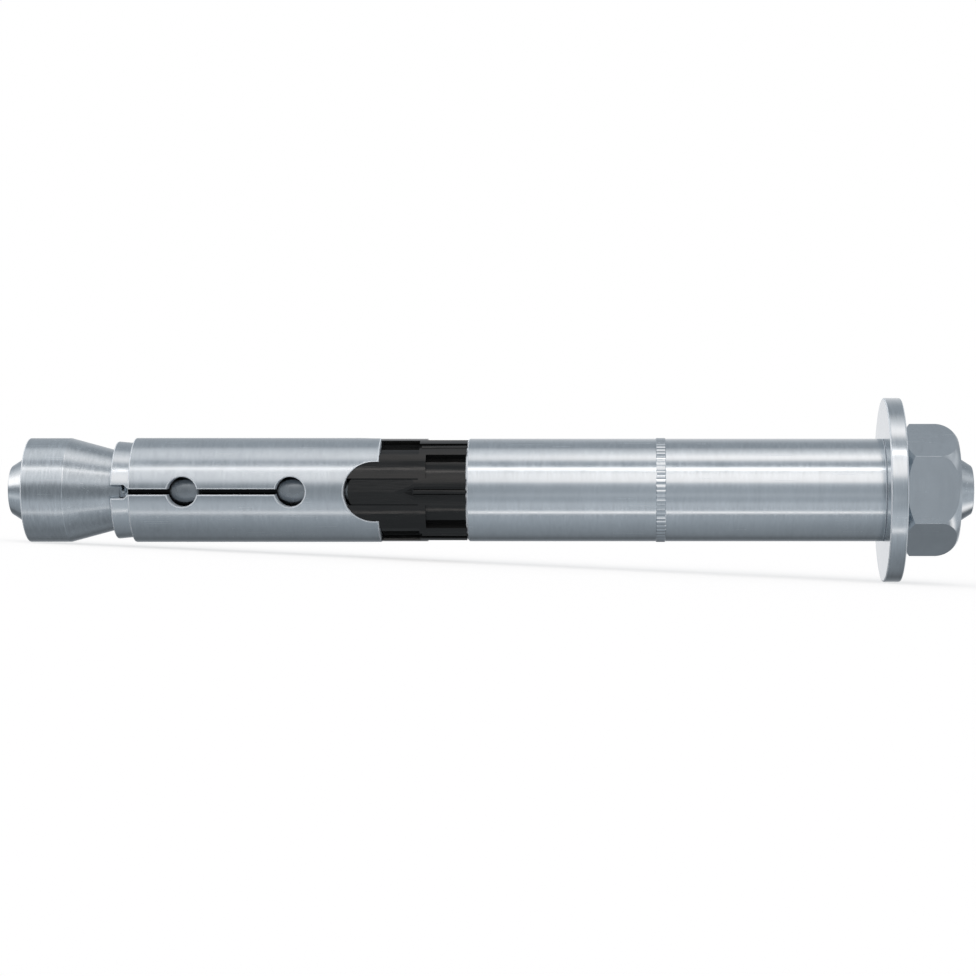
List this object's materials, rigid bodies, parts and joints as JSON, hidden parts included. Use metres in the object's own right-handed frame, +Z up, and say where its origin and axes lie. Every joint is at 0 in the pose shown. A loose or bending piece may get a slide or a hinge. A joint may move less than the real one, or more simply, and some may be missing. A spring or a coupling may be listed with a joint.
{
  "type": "sleeve anchor",
  "caption": "Heavy-duty sleeve anchor: threaded bolt with cone nut, slit expansion sleeve, plastic collapse ring, distance sleeve, washer and hexagon nut.",
  "frame": {"origin": "on the surface the anchor lies on, under the middle of its bounding box", "axes": "+X from the cone end to the nut end, along the anchor's length, +Z up; the anchor lies on the rim of its washer and the edge of its cone, so its axis climbs towards the nut by under three degrees"},
  "size_m": [0.137, 0.0262, 0.0263],
  "materials": {
    "plated_steel": "bright zinc plate, finely turned",
    "turned_steel": "bright zinc plate, finely turned",
    "sleeve_steel": "bright zinc plate, finely turned",
    "black_plastic": "black moulded plastic, satin"
  },
  "bodies": {
    "root": {"threaded_bolt": "plated_steel", "cone_nut": "turned_steel"},
    "sleeve": {"expansion_sleeve": "sleeve_steel", "collapse_ring": "black_plastic"},
    "spacer": {"distance_sleeve": "sleeve_steel"},
    "washer": {"washer": "plated_steel"},
    "nut": {"hex_nut": "plated_steel"}
  },
  "joints": [
    {"name": "sleeve_turn", "type": "hinge", "parent": "root", "child": "sleeve", "pos_m": [-0.03312, 0, 0.00893], "axis": [0.9989, 0, 0.0471], "continuous": true},
    {"name": "spacer_turn", "type": "hinge", "parent": "root", "child": "spacer", "pos_m": [0.02611, 0, 0.01172], "axis": [0.9989, 0, 0.0471], "continuous": true},
    {"name": "washer_slide", "type": "slide", "parent": "root", "child": "washer", "axis": [0.9989, 0, 0.0471], "range_m": [0, 0.0076]},
    {"name": "nut_turn", "type": "hinge", "parent": "washer", "child": "nut", "pos_m": [0.06207, 0, 0.01341], "axis": [0.9989, 0, 0.0471], "range_deg": [0, 1800]}
  ],
  "couplings": [
    {"joint": "washer_slide", "follows": "nut_turn", "m_per_rad": 0.00023873}
  ]
}
